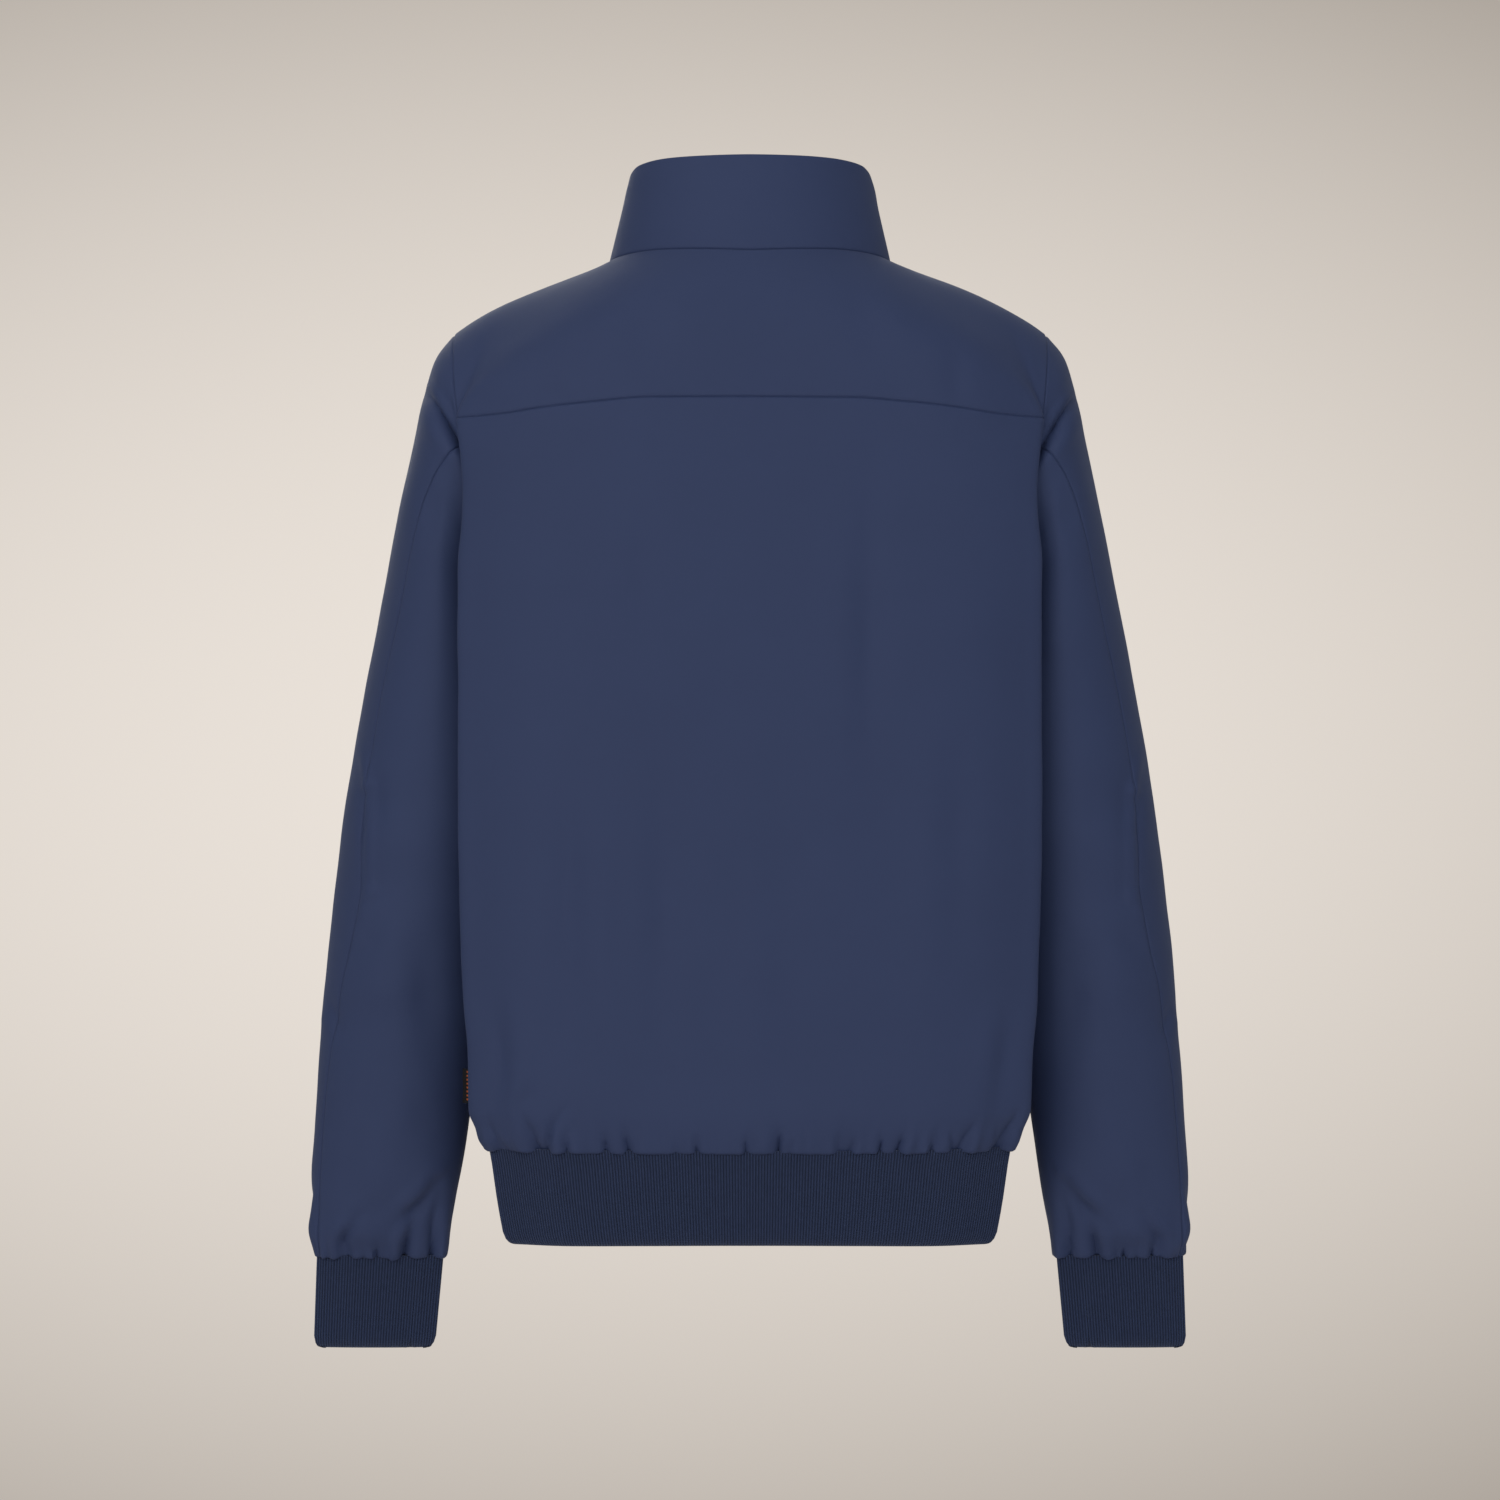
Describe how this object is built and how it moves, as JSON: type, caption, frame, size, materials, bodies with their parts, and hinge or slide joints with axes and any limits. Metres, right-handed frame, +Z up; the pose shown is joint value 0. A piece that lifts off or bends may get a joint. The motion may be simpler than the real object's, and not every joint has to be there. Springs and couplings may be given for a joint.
{
  "type": "windbreaker",
  "caption": "Hollow windbreaker in its worn shape: stand collar, back yoke, two-piece sleeves, rib-knit cuffs and hem band, full-length front zip.",
  "frame": {"origin": "centre of the neck base, level with the side neck points, where the shoulders of the wearer hold the jacket up", "axes": "+Z up, -Y out of the zipped front, +Y out of the back, +X towards the wearer's left"},
  "size_m": [0.6116, 0.243, 0.8274],
  "materials": {
    "shell": "matt plain-woven polyester",
    "rib": "1x1 rib knit",
    "zip_tape": "woven zip tape",
    "zip_teeth": "moulded nylon coil",
    "zip_metal": "satin gunmetal",
    "label": "woven ribbon"
  },
  "bodies": {
    "jacket": {"back_lower": "shell", "back_yoke": "shell", "collar": "shell", "cuff_left": "rib", "cuff_right": "rib", "front_left": "shell", "front_right": "shell", "hem_band": "rib", "side_label": "label", "under_sleeve_left": "shell", "under_sleeve_right": "shell", "upper_sleeve_left": "shell", "upper_sleeve_right": "shell", "zip_box": "zip_metal", "zip_chain": "zip_teeth", "zip_slider": "zip_metal", "zip_tape_left": "zip_tape", "zip_tape_right": "zip_tape"},
    "pull": {"zip_pull": "zip_metal"}
  },
  "joints": [
    {"name": "pull_swing", "type": "hinge", "parent": "jacket", "child": "pull", "pos_m": [0, -0.08169, -0.0021], "axis": [-1, 0, 0], "range_deg": [0, 150]}
  ]
}
